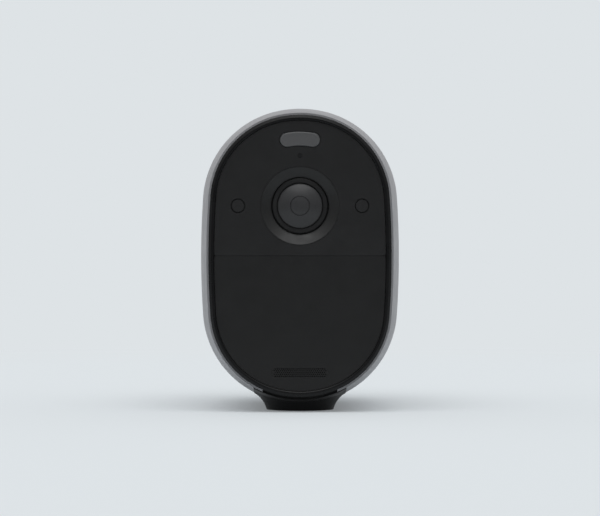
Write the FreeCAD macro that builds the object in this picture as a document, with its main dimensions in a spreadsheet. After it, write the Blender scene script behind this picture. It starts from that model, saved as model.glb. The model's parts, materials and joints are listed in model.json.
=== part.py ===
import FreeCAD, Part
import math
import os
from FreeCAD import Placement, Rotation, Vector
import Sketcher

# A wire-free spotlight camera standing on its foot.
# The frame: +Z up, the camera looks along -Y, and the origin is under the middle of the body, on the
# surface that the foot stands on. "Depth" is the distance behind the foremost point of the front bezel, so
# Y = depth - half the body's depth. All sizes are in millimetres.

DIMENSIONS = {
    # Rear housing: an oval shell, widest a little behind its front rim and rounded off at the back.
    "body_depth": 89.0,
    "body_half_width": 25.88,
    "body_half_height": 38.43,
    "centre_height": 39.65,
    "crown_radius": 28.43,
    "shoulder_radius": 24.7,
    "side_radius": 228.0,
    "widest_depth": 30.0,
    "rim_depth": 3.0,
    "front_taper": 2.1,
    "rear_taper": 19.5,
    "shell_wall": 2.0,
    "mouth_inset": 2.62,
    "mouth_end": 9.6,
    "neck_half_width": 5.7,
    "neck_front": 11.2,
    "neck_back": 30.7,
    "neck_top": 6.0,
    "boss_across": 18.6,
    "boss_up": 17.0,
    "boss_front": 9.7,
    "boss_end": 20.0,
    "ledge_front": 29.4,
    "insert_height": 31.8,
    # Front bezel, the two face panels behind its lip and the plate that carries them.
    "bezel_inset": 2.7,
    "bezel_band": 1.4,
    "bezel_bevel": 0.7,
    "bezel_bevel_round": 0.25,
    "bezel_lip_round": 0.42,
    "bezel_end": 9.0,
    "panel_inset": 4.17,
    "panel_depth": 0.5,
    "panel_thickness": 1.6,
    "panel_seam": 0.08,
    "panel_corner": 0.45,
    "carrier_thickness": 1.6,
    # Lens, on the middle line of the upper panel.
    "lens_height": 52.3,
    "cone_radius": 9.97,
    "cone_mouth_radius": 7.27,
    "barrel_flange_radius": 7.06,
    "barrel_radius": 6.0,
    "dome_radius": 5.66,
    "dome_sag": 1.4,
    # Small windows in the upper panel.
    "infrared_across": 15.7,
    "infrared_radius": 1.57,
    "sensor_height": 65.0,
    "sensor_radius": 0.55,
    "spotlight_orbit": 17.0,
    "spotlight_half_height": 1.85,
    "spotlight_half_span": 3.27,
    "spotlight_round": 0.4,
    # Loudspeaker, behind the foot of the lower panel.
    "grille_height": 10.1,
    "grille_half_span": 6.1,
    "grille_radius": 1.1,
    "speaker_height": 11.85,
    # Night filter: a carriage with two panes that a small rotor swings across the image sensor.
    "pane_spacing": 3.6,
    "rotor_drop": 12.0,
    "rotor_arm": 6.5,
    "rotor_lean": 33.6,
    # Electronics and batteries.
    "motion_sensor_height": 26.0,
    "board_front": 25.5,
    "board_thickness": 1.2,
    "board_inset": 5.6,
    "chassis_front": 28.0,
    "cell_radius": 9.2,
    "cell_length": 65.2,
    "front_cell_depth": 39.2,
    "rear_cell_depth": 58.4,
    # Foot: a stadium in plan that flares up into the underside of the shell.
    "foot_bottom": 0.1,
    "foot_half_width": 8.65,
    "foot_flare": 12.0,
    "foot_flare_height": 4.4,
    "foot_flare_radius": 6.7,
    "saddle_thickness": 0.18,
    "saddle_half_width": 11.8,
    "foot_front_centre": 16.5,
    "foot_rear_centre": 53.4,
    "lip_height": 2.85,
    "lip_fall": 1.9,
    "lip_radius": 21.0,
    "lip_half_width": 12.0,
    "hook_half_width": 9.4,
    "pad_outer_radius": 7.7,
    "pad_inner_radius": 6.4,
    # Charging port, its cover and the pairing button, in the foot.
    "cover_half_width": 4.6,
    "cover_front": 12.3,
    "cover_axis_depth": 21.9,
    "cover_axis_height": 0.95,
    "port_depth": 15.5,
    "button_depth": 26.8,
    "button_radius": 2.5,
}
REAR_POWER = 2.6
REAR_SECTIONS = 9
FRONT_SECTIONS = 4
GAP = 0.05
GRILLE_PITCH = 0.52
GRILLE_ROWS = (25, 26, 25, 26, 25)


class Size:
    """A length as a number and as the expression that gives it from the sheet."""

    def __init__(self, value, formula=None):
        self.value = value
        self.formula = formula or repr(value)

    def __add__(self, other):
        other = as_size(other)
        return Size(self.value + other.value, f"({self.formula} + {other.formula})")

    def __sub__(self, other):
        other = as_size(other)
        return Size(self.value - other.value, f"({self.formula} - {other.formula})")

    def __mul__(self, factor):
        factor = as_size(factor)
        return Size(self.value * factor.value, f"({self.formula} * {factor.formula})")

    def __truediv__(self, divisor):
        divisor = as_size(divisor)
        return Size(self.value / divisor.value, f"({self.formula} / {divisor.formula})")

    def __neg__(self):
        return Size(-self.value, f"(0 - {self.formula})")

    __radd__ = __add__
    __rmul__ = __mul__

    def __rsub__(self, other):
        return as_size(other) - self


def as_size(number):
    return number if isinstance(number, Size) else Size(float(number))


def sine(angle):
    return Size(math.sin(math.radians(angle.value)), f"sin({angle.formula})")


def cosine(angle):
    return Size(math.cos(math.radians(angle.value)), f"cos({angle.formula})")


class Sheet:
    """The document's spreadsheet; each dimension is read as an attribute."""

    def __init__(self, document):
        cells = document.addObject("Spreadsheet::Sheet", "Sizes")
        for row, (alias, value) in enumerate(DIMENSIONS.items(), start=1):
            cells.set(f"A{row}", alias.replace("_", " "))
            cells.set(f"B{row}", str(value))
            cells.setAlias(f"B{row}", alias)
            setattr(self, alias, Size(value, f"Sizes.{alias}"))


doc = FreeCAD.newDocument("spotlight_camera")
dim = Sheet(doc)
doc.recompute()
pieces = {}


# ---------------------------------------------------------------- sketch planes


class Plane:
    """An origin plane of a body, moved to where a sketch goes.

    Material grows away from the viewer of the front, upwards from a plan, and to +X from a side view.
    """

    def __init__(self, role, offset):
        self.role = role
        self.offset = [as_size(part) for part in offset]
        self.against_normal = role == "XZ_Plane"


def behind(depth):
    """The Y coordinate of a depth behind the bezel."""
    return as_size(depth) - dim.body_depth / 2


def front(depth, height=0.0):
    """Seen from the front: X across and Z up, at a depth behind the bezel."""
    return Plane("XZ_Plane", (0.0, height, -behind(depth)))


def plan(height, depth=0.0):
    """Seen from above: X across and depth up the sketch, at a height."""
    return Plane("XY_Plane", (0.0, behind(depth), height))


def side(across, height=0.0):
    """Seen from the +X side: depth across and Z up, at a distance from the middle."""
    return Plane("YZ_Plane", (behind(0.0), height, across))


# ---------------------------------------------------------------- outlines


class Outline:
    """Geometry of one sketch with the constraints that tie it to the sheet."""

    def __init__(self, sketch):
        self.sketch = sketch
        self.shapes = []
        self.rules = []
        self.formulas = []

    def draw(self, shape):
        self.shapes.append(shape)
        return len(self.shapes) - 1

    def rule(self, *parts):
        self.rules.append(Sketcher.Constraint(*parts))

    def size(self, kind, *parts):
        *place, length = parts
        self.formulas.append((len(self.rules), length.formula))
        self.rule(kind, *place, length.value)

    def pin(self, shape, point, across, up):
        """Holds a point of a shape at a place measured from the sketch's origin."""
        for kind, axis, length in (("DistanceX", -2, as_size(across)), ("DistanceY", -1, as_size(up))):
            if length.value == 0:
                self.rule("PointOnObject", shape, point, axis)
            else:
                self.size(kind, -1, 1, shape, point, length)

    def close(self):
        self.sketch.addGeometry(self.shapes, False)
        self.sketch.addConstraint(self.rules)
        for number, formula in self.formulas:
            if "Sizes." in formula:
                self.sketch.setExpression(f"Constraints[{number}]", formula)


def arc(centre, radius, start, end):
    """An anticlockwise arc between two angles in radians."""
    circle = Part.Circle(Vector(centre[0], centre[1], 0), Vector(0, 0, 1), radius)
    return Part.ArcOfCircle(circle, start, end)


def oval(outline, inset=0.0):
    """The shell's outline, or one parallel to it: eight arcs, each tangent to the next."""
    inset = as_size(inset)
    crown = dim.crown_radius - inset
    shoulder = dim.shoulder_radius - inset
    flank = dim.side_radius - inset
    crown_rise = dim.body_half_height - dim.crown_radius
    flank_shift = dim.side_radius - dim.body_half_width
    across, up = shoulder_centre(crown_rise.value, flank_shift.value)
    crown_end = math.atan2(up - crown_rise.value, across)
    flank_end = math.atan2(up, across + flank_shift.value)
    right, left = 0.0, math.pi
    arcs = [
        arc((-flank_shift.value, 0), flank.value, -flank_end, flank_end),
        arc((across, up), shoulder.value, flank_end, crown_end),
        arc((0, crown_rise.value), crown.value, crown_end, left - crown_end),
        arc((-across, up), shoulder.value, left - crown_end, left - flank_end),
        arc((flank_shift.value, 0), flank.value, left - flank_end, left + flank_end),
        arc((-across, -up), shoulder.value, left + flank_end, left + crown_end),
        arc((0, -crown_rise.value), crown.value, left + crown_end, -crown_end),
        arc((across, -up), shoulder.value, right - crown_end, right - flank_end),
    ]
    numbers = [outline.draw(shape) for shape in arcs]
    for here, following in zip(numbers, numbers[1:] + numbers[:1]):
        outline.rule("Tangent", here, 2, following, 1)
    outline.pin(numbers[0], 3, -flank_shift, 0.0)
    outline.pin(numbers[4], 3, flank_shift, 0.0)
    outline.pin(numbers[2], 3, 0.0, crown_rise)
    outline.pin(numbers[6], 3, 0.0, -crown_rise)
    for number, radius in zip(numbers, (flank, shoulder, crown, shoulder) * 2):
        outline.size("Radius", number, radius)


def shoulder_centre(crown_rise, flank_shift):
    """Where an arc of the shoulder radius touches the crown's and the side's arcs from inside."""
    to_crown = dim.crown_radius.value - dim.shoulder_radius.value
    to_flank = dim.side_radius.value - dim.shoulder_radius.value
    span = math.hypot(flank_shift, crown_rise)
    along = (to_flank ** 2 - to_crown ** 2 + span ** 2) / (2 * span)
    aside = math.sqrt(to_flank ** 2 - along ** 2)
    across, up = flank_shift / span, crown_rise / span
    return -flank_shift + along * across - aside * up, along * up + aside * across


def polygon(outline, *points, arcs=None):
    """A closed outline through points; arcs maps a side's number to its radius, negative to curve inwards."""
    arcs = arcs or {}
    points = [(as_size(across), as_size(up)) for across, up in points]
    numbers = []
    for number, (start, end) in enumerate(zip(points, points[1:] + points[:1])):
        first = (start[0].value, start[1].value)
        last = (end[0].value, end[1].value)
        if number in arcs:
            numbers.append(outline.draw(bowed_side(first, last, arcs[number].value)))
        else:
            numbers.append(outline.draw(Part.LineSegment(Vector(*first, 0), Vector(*last, 0))))
    ends = [(2, 1) if number in arcs and arcs[number].value < 0 else (1, 2) for number in range(len(points))]
    for number, (across, up) in enumerate(points):
        shape, (begin, _) = numbers[number], ends[number]
        before, (_, finish) = numbers[number - 1], ends[number - 1]
        outline.rule("Coincident", before, finish, shape, begin)
        outline.pin(shape, begin, across, up)
        if number in arcs:
            radius = arcs[number]
            outline.size("Radius", shape, radius if radius.value > 0 else -radius)


def bowed_side(first, last, radius):
    """An arc from first to last that turns left for a positive radius and right for a negative one."""
    across, up = last[0] - first[0], last[1] - first[1]
    chord = math.hypot(across, up)
    rise = math.sqrt(max(radius ** 2 - chord ** 2 / 4, 0.0)) * math.copysign(1.0, radius)
    centre = (first[0] + across / 2 - up / chord * rise, first[1] + up / 2 + across / chord * rise)
    start = math.atan2(first[1] - centre[1], first[0] - centre[0])
    end = math.atan2(last[1] - centre[1], last[0] - centre[0])
    if radius > 0:
        return arc(centre, radius, start, end)
    return arc(centre, -radius, end, start)


def rectangle(outline, left, right, low, high):
    polygon(outline, (left, low), (right, low), (right, high), (left, high))


def centred(outline, half_width, low, high):
    rectangle(outline, -as_size(half_width), half_width, low, high)


def circle(outline, radius, across=0.0, up=0.0):
    radius, across, up = as_size(radius), as_size(across), as_size(up)
    centre = Vector(across.value, up.value, 0)
    number = outline.draw(Part.Circle(centre, Vector(0, 0, 1), radius.value))
    if across.value == 0 and up.value == 0:
        outline.rule("Coincident", number, 3, -1, 1)
    else:
        outline.pin(number, 3, across, up)
    outline.size("Radius", number, radius)


def mirrored_circles(outline, radius, across, up=0.0):
    circle(outline, radius, across, up)
    circle(outline, radius, -as_size(across), up)


def pill(outline, half_span, radius, across=0.0, up=0.0):
    """A slot with round ends, lying across."""
    half_span, radius = as_size(half_span), as_size(radius)
    stadium(outline, (across - half_span, up), (across + half_span, up), radius)


def stadium(outline, first, last, radius):
    """A slot with round ends about two points, the second to the right of the first or above it."""
    (ax, ay), (bx, by) = [(as_size(across), as_size(up)) for across, up in (first, last)]
    heading = math.atan2(by.value - ay.value, bx.value - ax.value)
    quarter = math.pi / 2
    aside = Vector(math.cos(heading - quarter), math.sin(heading - quarter), 0) * radius.value
    start, end = Vector(ax.value, ay.value, 0), Vector(bx.value, by.value, 0)
    near = outline.draw(arc((ax.value, ay.value), radius.value, heading + quarter, heading + 3 * quarter))
    low = outline.draw(Part.LineSegment(start + aside, end + aside))
    far = outline.draw(arc((bx.value, by.value), radius.value, heading - quarter, heading + quarter))
    high = outline.draw(Part.LineSegment(end - aside, start - aside))
    for here, following in ((near, low), (low, far), (far, high), (high, near)):
        outline.rule("Tangent", here, 2, following, 1)
    for end_arc, across, up in ((near, ax, ay), (far, bx, by)):
        outline.pin(end_arc, 3, across, up)
        outline.size("Radius", end_arc, radius)


def arched_slot(outline, half_height):
    """The spotlight's slot, bent about the lens axis, which is the sketch's origin."""
    half_height = as_size(half_height)
    orbit = dim.spotlight_orbit
    lean = math.asin(dim.spotlight_half_span.value / orbit.value)
    right, left = math.pi / 2 - lean, math.pi / 2 + lean
    reach, rise = orbit.value * math.sin(lean), orbit.value * math.cos(lean)
    upper = outline.draw(arc((0, 0), (orbit + half_height).value, right, left))
    lower = outline.draw(arc((0, 0), (orbit - half_height).value, right, left))
    left_cap = outline.draw(arc((-reach, rise), half_height.value, left, left + math.pi))
    right_cap = outline.draw(arc((reach, rise), half_height.value, right - math.pi, right))
    outline.rule("Tangent", upper, 2, left_cap, 1)
    outline.rule("Tangent", left_cap, 2, lower, 2)
    outline.rule("Tangent", lower, 1, right_cap, 1)
    outline.rule("Tangent", right_cap, 2, upper, 1)
    outline.rule("Coincident", upper, 3, -1, 1)
    outline.rule("Coincident", lower, 3, -1, 1)
    outline.size("Radius", upper, orbit + half_height)
    outline.size("Radius", lower, orbit - half_height)
    outline.size("DistanceX", -1, 1, right_cap, 3, dim.spotlight_half_span)
    outline.size("DistanceX", left_cap, 3, -1, 1, dim.spotlight_half_span)


# ---------------------------------------------------------------- features


class Piece:
    """A PartDesign body that is built feature by feature."""

    def __init__(self, label, kept=True):
        self.body = doc.addObject("PartDesign::Body", label)
        self.body.Label = label
        self.label = label
        self.steps = 0
        if kept:
            pieces[label] = self.body

    def new(self, kind, name):
        self.steps += 1
        return self.body.newObject(kind, f"{self.label}_{self.steps}_{name}")

    def sketch(self, plane, draw):
        sketch = self.new("Sketcher::SketchObject", "sketch")
        support = next(part for part in self.body.Origin.OriginFeatures if part.Role == plane.role)
        sketch.AttachmentSupport = (support, [""])
        sketch.MapMode = "FlatFace"
        sketch.AttachmentOffset = Placement(Vector(*(part.value for part in plane.offset)), Rotation())
        for letter, part in zip("xyz", plane.offset):
            if "Sizes." in part.formula:
                sketch.setExpression(f"AttachmentOffset.Base.{letter}", part.formula)
        outline = Outline(sketch)
        draw(outline)
        outline.close()
        return sketch

    def extrude(self, kind, plane, length, draw, reverse):
        sketch = self.sketch(plane, draw)
        feature = self.new(kind, "extrusion")
        feature.Profile = sketch
        length = as_size(length)
        feature.Length = length.value
        feature.setExpression("Length", length.formula)
        feature.Reversed = reverse
        sketch.Visibility = False
        return self

    def add(self, plane, length, draw):
        return self.extrude("PartDesign::Pad", plane, length, draw, plane.against_normal)

    def cut(self, plane, length, draw):
        return self.extrude("PartDesign::Pocket", plane, length, draw, not plane.against_normal)

    def turn(self, plane, draw, axis="H_Axis", kind="PartDesign::Revolution"):
        sketch = self.sketch(plane, draw)
        feature = self.new(kind, "turning")
        feature.Profile = sketch
        feature.ReferenceAxis = (sketch, [axis])
        feature.Angle = 360.0
        sketch.Visibility = False
        return self

    def loft(self, sections, kind="PartDesign::AdditiveLoft"):
        sketches = [self.sketch(plane, draw) for plane, draw in sections]
        feature = self.new(kind, "loft")
        feature.Profile = sketches[0]
        feature.Sections = sketches[1:]
        return self

    def front_edge(self, outer):
        """The outer or the inner edge of the foremost face, as a feature takes it."""
        doc.recompute()
        shape = self.body.Tip.Shape
        flat = [part for part in shape.Faces if isinstance(part.Surface, Part.Plane)]
        face = min(flat, key=lambda part: part.CenterOfMass.y)
        pick = max if outer else min
        wire = pick(face.Wires, key=lambda loop: loop.Length)
        names = [f"Edge{number}" for number, edge in enumerate(shape.Edges, start=1)
                 if any(edge.isSame(chosen) for chosen in wire.Edges)]
        return self.body.Tip, names

    def round_front(self, radius, outer=False):
        """Rounds an edge of the foremost face."""
        edge = self.front_edge(outer)
        feature = self.new("PartDesign::Fillet", "rounding")
        feature.Base = edge
        feature.Radius = radius.value
        feature.setExpression("Radius", radius.formula)
        return self

    def bevel_front(self, width):
        """Bevels the outer edge of the foremost face."""
        edge = self.front_edge(outer=True)
        feature = self.new("PartDesign::Chamfer", "bevel")
        feature.Base = edge
        feature.Size = width.value
        feature.setExpression("Size", width.formula)
        return self

    def round_corners(self, height, radius):
        """Rounds the two corners of a plate that lie at a height."""
        doc.recompute()
        names = [f"Edge{number}" for number, edge in enumerate(self.body.Tip.Shape.Edges, start=1)
                 if abs(edge.tangentAt(edge.FirstParameter).y) > 0.99
                 and abs(edge.CenterOfMass.z - height.value) < GAP / 2]
        base = self.body.Tip
        feature = self.new("PartDesign::Fillet", "corners")
        feature.Base = (base, names)
        feature.Radius = radius.value
        feature.setExpression("Radius", radius.formula)
        return self


def with_size(draw, *sizes, **places):
    return lambda outline: draw(outline, *sizes, **places)


def several(*draws):
    def draw_all(outline):
        for draw in draws:
            draw(outline)
    return draw_all


def ring(draw, outer, inner):
    return several(with_size(draw, outer), with_size(draw, inner))


def group(label, bodies):
    """Identical or paired pieces that share one node, each a solid of its own."""
    compound = doc.addObject("Part::Compound", label)
    compound.Label = label
    compound.Links = [piece.body for piece in bodies]
    pieces[label] = compound


def turned(label, plane, points, arcs=None, kept=True):
    """A round piece with its axis along the depth; points are (depth, radius)."""
    return Piece(label, kept).turn(plane, with_size(polygon, *points, arcs=arcs))


def upright(label, depth, points, across=0.0, kept=True):
    """A round piece with its axis upright; points are (radius, height)."""
    plane = Plane("XZ_Plane", (across, 0.0, -behind(depth)))
    return Piece(label, kept).turn(plane, with_size(polygon, *points), axis="V_Axis")


def on_lens_axis():
    return side(0.0, dim.lens_height)


def cap_radius(reach, sag):
    """The radius of a domed cap with this half width and height, so that its centre is on its axis."""
    reach, sag = as_size(reach), as_size(sag)
    return (reach * reach + sag * sag) / (sag * 2.0)


def screw(label, across, height, head_front, head_length, shank_end, head_radius, shank_radius):
    """A socket-headed screw that points backwards."""
    plane = Plane("YZ_Plane", (behind(0.0), height, across))
    under_head = as_size(head_front) + head_length
    points = ((head_front, 0.0), (head_front, head_radius), (under_head, head_radius),
              (under_head, shank_radius), (shank_end, shank_radius), (shank_end, 0.0))
    piece = turned(label, plane, points, kept=False)
    socket = Plane("XZ_Plane", (across, height, -behind(head_front)))
    return piece.cut(socket, as_size(head_length) * 0.6, with_size(hexagon, as_size(head_radius) * 0.55))


def hexagon(outline, radius):
    corners = [(radius * cosine(Size(60.0 * turn)), radius * sine(Size(60.0 * turn))) for turn in range(6)]
    corners = [(settle(across), settle(up)) for across, up in corners]
    polygon(outline, *corners)


def settle(length):
    """A length that rounds to nothing is exactly nothing."""
    return as_size(0.0) if abs(length.value) < 1e-9 else length


# ---------------------------------------------------------------- shell


def front_inset(depth):
    """How far the shell has drawn in from its widest section at a depth in front of it."""
    share = (dim.widest_depth - depth) / (dim.widest_depth - dim.rim_depth)
    return dim.front_taper * share * share


def shell_sections(grow=0.0, end_wall=0.0):
    """Planes and ovals from the rim to the rounded back; grow is outwards, end_wall shortens the back."""
    centre = dim.centre_height
    sections = []
    for step in range(FRONT_SECTIONS):
        depth = dim.rim_depth + (dim.widest_depth - dim.rim_depth) * (step / FRONT_SECTIONS)
        sections.append((front(depth, centre), with_size(oval, front_inset(depth) - grow)))
    reach = dim.body_depth - end_wall - dim.widest_depth
    for step in range(REAR_SECTIONS):
        angle = math.pi / 2 * step / (REAR_SECTIONS - 1)
        along = math.sin(angle) ** (2 / REAR_POWER)
        drawn_in = 1 - math.cos(angle) ** (2 / REAR_POWER) if step < REAR_SECTIONS - 1 else 1.0
        depth = dim.widest_depth + reach * along
        sections.append((front(depth, centre), with_size(oval, dim.rear_taper * drawn_in - grow)))
    return sections


def rear_housing():
    """The oval shell with its bosses, its ledges and the opening for the foot's neck."""
    centre = dim.centre_height
    wall = dim.shell_wall
    housing = Piece("rear_housing")
    housing.loft(shell_sections())
    housing.loft(shell_sections(grow=-wall, end_wall=wall), kind="PartDesign::SubtractiveLoft")
    mouth_length = dim.mouth_end - dim.rim_depth
    housing.cut(front(dim.rim_depth, centre), mouth_length, with_size(oval, dim.mouth_inset))

    def webs(outline):
        for facing in (1, -1):
            for level in (dim.boss_up, -dim.boss_up):
                inner, outer = dim.boss_across * facing, (dim.boss_across + 4.8) * facing
                left, right = (inner, outer) if facing > 0 else (outer, inner)
                rectangle(outline, left, right, level - 1.0, level + 1.0)

    def at_bosses(radius):
        return several(*(with_size(mirrored_circles, radius, dim.boss_across, level)
                         for level in (dim.boss_up, -dim.boss_up)))

    depth = dim.boss_end - dim.boss_front
    housing.add(front(dim.boss_front, centre), depth, webs)
    housing.add(front(dim.boss_front, centre), depth, at_bosses(2.8))
    housing.cut(front(dim.boss_front, centre), 8.0, at_bosses(1.0))

    def ledges(outline):
        for facing in (1, -1):
            for level in (8.0, -8.0):
                left, right = (18.2, 24.6) if facing > 0 else (-24.6, -18.2)
                rectangle(outline, left, right, level - 2.6, level + 2.6)

    def at_ledges(radius):
        return several(*(with_size(mirrored_circles, radius, 20.4, level) for level in (8.0, -8.0)))

    housing.add(front(dim.ledge_front, centre), 4.0, ledges)
    housing.cut(front(dim.ledge_front, centre), 3.5, at_ledges(0.9))

    insert = front(dim.body_depth - 11.0, dim.insert_height)
    housing.add(insert, 10.0, with_size(circle, 6.0))
    housing.cut(front(dim.body_depth - 8.6, dim.insert_height), 9.0, with_size(circle, 4.2))

    housing.cut(plan(-1.0), 8.0, with_size(centred, dim.neck_half_width + 0.2,
                                           dim.neck_front - 0.2, dim.neck_back + 0.2))
    housing.add(plan(4.2, 21.0), 2.6, with_size(mirrored_circles, 2.2, 9.0))
    housing.cut(plan(4.1, 21.0), 3.0, with_size(mirrored_circles, 1.0, 9.0))
    housing.add(plan(3.0, 55.0), 3.5, with_size(circle, 2.2))
    housing.cut(plan(-1.0, 55.0), 7.1, with_size(circle, 1.0))
    notch = dim.hook_half_width + 0.1
    housing.cut(front(dim.rim_depth - 0.5), 2.1, with_size(centred, notch, -1.0, 7.5))


def front_bezel():
    """The black ring round the face, with a rounded outer edge and a skirt inside the shell's mouth."""
    bezel = Piece("front_bezel")
    inner = dim.bezel_inset + dim.bezel_band
    bezel.add(front(0.0, dim.centre_height), dim.bezel_end, ring(oval, dim.bezel_inset, inner))
    bezel.bevel_front(dim.bezel_bevel)
    bezel.round_front(dim.bezel_bevel_round, outer=True)
    bezel.round_front(dim.bezel_lip_round)


def front_gasket():
    """A soft ring between the bezel's skirt and the ledge inside the shell's mouth."""
    gasket = Piece("front_gasket")
    depth = dim.mouth_end - dim.bezel_end
    gasket.add(front(dim.bezel_end, dim.centre_height), depth, ring(oval, 2.75, 3.9))


# ---------------------------------------------------------------- face


def face_panel(label, low, high):
    """An oval face plate that is cut down to the stretch between two heights."""
    panel = Piece(label)
    near = front(dim.panel_depth, dim.centre_height)
    panel.add(near, dim.panel_thickness, with_size(oval, dim.panel_inset))
    panel.cut(front(dim.panel_depth), dim.panel_thickness, with_size(centred, 40.0, low, high))
    return panel


def front_window():
    """The upper panel, a dark window pierced for the lens, the lights and the light sensor."""
    seam = dim.centre_height + dim.panel_seam / 2
    window = face_panel("front_window", -10.0, seam).round_corners(seam, dim.panel_corner)
    lens = front(dim.panel_depth, dim.lens_height)
    window.cut(lens, dim.panel_thickness, with_size(circle, dim.cone_radius))
    window.cut(lens, dim.panel_thickness, with_size(arched_slot, dim.spotlight_half_height + 0.1))
    window.cut(lens, dim.panel_thickness,
               with_size(mirrored_circles, dim.infrared_radius + 0.28, dim.infrared_across))
    window.cut(front(dim.panel_depth, dim.sensor_height), dim.panel_thickness,
               with_size(circle, dim.sensor_radius + GAP))


def motion_lens():
    """The lower panel, which is the motion detector's lens, with a slot for the grille."""
    seam = dim.centre_height - dim.panel_seam / 2
    panel = face_panel("motion_lens", seam, 90.0).round_corners(seam, dim.panel_corner)
    panel.cut(front(dim.panel_depth, dim.grille_height), dim.panel_thickness,
              with_size(pill, dim.grille_half_span, dim.grille_radius))

    def lenslets(outline):
        for across in (-10.0, -5.0, 0.0, 5.0, 10.0):
            for up in (-5.2, 0.0, 5.2):
                circle(outline, 2.3, across, up)

    back = dim.panel_depth + dim.panel_thickness - 0.5
    panel.cut(front(back, dim.motion_sensor_height + 1.0), 0.5, lenslets)


def speaker_grille():
    """A pill-shaped insert with rows of small sound holes."""
    grille = Piece("speaker_grille")
    depth = dim.panel_depth + 0.04
    thickness = dim.panel_thickness - 0.04
    radius = dim.grille_radius - 0.03
    grille.add(front(depth, dim.grille_height), thickness, with_size(pill, dim.grille_half_span, radius))

    def holes(outline):
        for row, count in enumerate(GRILLE_ROWS):
            level = (row - (len(GRILLE_ROWS) - 1) / 2) * GRILLE_PITCH * math.sin(math.pi / 3)
            for column in range(count):
                circle(outline, 0.15, (column - (count - 1) / 2) * GRILLE_PITCH, level)

    grille.cut(front(depth, dim.grille_height), thickness, holes)


def front_carrier():
    """The plate behind the face panels, with standoffs that the housing screws go through."""
    centre = dim.centre_height
    start = dim.panel_depth + dim.panel_thickness
    carrier = Piece("front_carrier")
    carrier.add(front(start, centre), dim.carrier_thickness, with_size(oval, dim.panel_inset))

    def at_standoffs(radius):
        return several(*(with_size(mirrored_circles, radius, dim.boss_across, level)
                         for level in (dim.boss_up, -dim.boss_up)))

    carrier.add(front(start, centre), dim.boss_front - start, at_standoffs(2.1))
    carrier.cut(front(start, centre), dim.boss_front - start, at_standoffs(1.15))
    carrier.cut(front(start, centre), dim.carrier_thickness, at_standoffs(1.85))
    lens = front(start, dim.lens_height)
    carrier.cut(lens, 10.0, with_size(circle, 8.7))
    carrier.cut(lens, 10.0, with_size(arched_slot, 3.1))
    carrier.cut(lens, 3.0, with_size(mirrored_circles, 2.7, dim.infrared_across))
    carrier.cut(front(start, dim.sensor_height), 3.0, with_size(circle, 1.0))
    carrier.cut(front(start), 3.0, with_size(centred, 14.0, 17.5, 37.5))
    carrier.cut(front(start, dim.grille_height), 3.0, with_size(pill, dim.grille_half_span, 1.3))
    carrier.cut(front(start, dim.grille_height), 0.4, with_size(pill, dim.grille_half_span + 0.2, 1.8))


def speaker_mesh():
    """Woven cloth behind the sound holes."""
    mesh = Piece("speaker_mesh")
    start = dim.panel_depth + dim.panel_thickness
    mesh.add(front(start, dim.grille_height), 0.3, with_size(pill, dim.grille_half_span + 0.1, 1.7))


def speaker():
    """A small loudspeaker as frame, cone and magnet."""
    start = dim.panel_depth + dim.panel_thickness + dim.carrier_thickness
    middle = dim.speaker_height
    frame = Piece("speaker_frame")
    frame.add(front(start, middle), 4.5, with_size(centred, 8.0, -4.25, 4.25))
    frame.cut(front(start, middle), 3.7, with_size(pill, 3.6, 3.6))
    cone = Piece("speaker_cone")
    cone.add(front(start + 0.6, middle), 0.5, with_size(pill, 3.5, 3.5))
    cone.add(front(start + 0.2, middle), 0.6, with_size(pill, 2.4, 1.6))
    magnet = Piece("speaker_magnet")
    magnet.add(front(start + 1.6, middle), 2.1, with_size(circle, 2.6))


# ---------------------------------------------------------------- lens


def lens():
    """The lens behind its stepped cone: barrel, retaining ring, domed front glass, inner glasses and stop."""
    lens_axis = on_lens_axis()
    face = dim.panel_depth
    turned("lens_cone", lens_axis, (
        (face, dim.cone_radius - 0.2), (face, dim.cone_radius - GAP), (face + 1.6, dim.cone_radius - GAP),
        (face + 1.6, 8.6), (4.5, 8.6), (4.5, dim.cone_mouth_radius), (1.75, dim.cone_mouth_radius)))
    flange = dim.barrel_flange_radius
    barrel = dim.barrel_radius
    turned("lens_barrel", lens_axis, (
        (1.55, flange), (3.4, flange), (3.4, barrel), (17.5, barrel), (17.5, 4.6), (9.0, 4.6), (9.0, 5.0),
        (3.2, 5.0), (3.2, 5.98), (1.3, 5.98), (1.3, flange - 0.25)))
    dome = dim.dome_radius
    turned("lens_retaining_ring", lens_axis, (
        (1.62, dome + 0.05), (3.2, dome + 0.05), (3.2, 5.95), (1.62, 5.95)))
    turned("lens_front_glass", lens_axis, (
        (0.3, 0.0), (1.9, 0.0), (3.2, 4.2), (3.2, dome), (0.3 + dim.dome_sag, dome)),
        arcs={1: -cap_radius(4.2, 1.3), 4: cap_radius(dome, dim.dome_sag)})
    bulge = cap_radius(4.95, 0.8)
    middle = turned("lens_middle_glass", lens_axis, ((4.2, 0.0), (7.4, 0.0), (6.6, 4.95), (5.0, 4.95)),
                    arcs={1: bulge, 3: bulge}, kept=False)
    bulge = cap_radius(4.55, 0.6)
    last = turned("lens_last_glass", lens_axis, ((10.0, 0.0), (14.5, 0.0), (13.9, 4.55), (10.6, 4.55)),
                  arcs={1: bulge, 3: bulge}, kept=False)
    group("lens_inner_glasses", (middle, last))
    turned("aperture_stop", lens_axis, ((8.6, 1.7), (9.0, 1.7), (9.0, 4.95), (8.6, 4.95)))


def lens_holder():
    """The threaded tube for the barrel on a plate over the night filter's tray."""
    holder = Piece("lens_holder")
    on_axis = front(11.0, dim.lens_height)
    holder.add(front(18.5), 1.5, with_size(centred, 13.5, 34.8, 59.8))
    holder.add(on_axis, 8.0, with_size(circle, 7.75))
    holder.cut(on_axis, 7.5, with_size(circle, dim.barrel_radius + 0.02))
    holder.cut(on_axis, 9.5, with_size(circle, 4.6))


# ---------------------------------------------------------------- night filter


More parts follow.
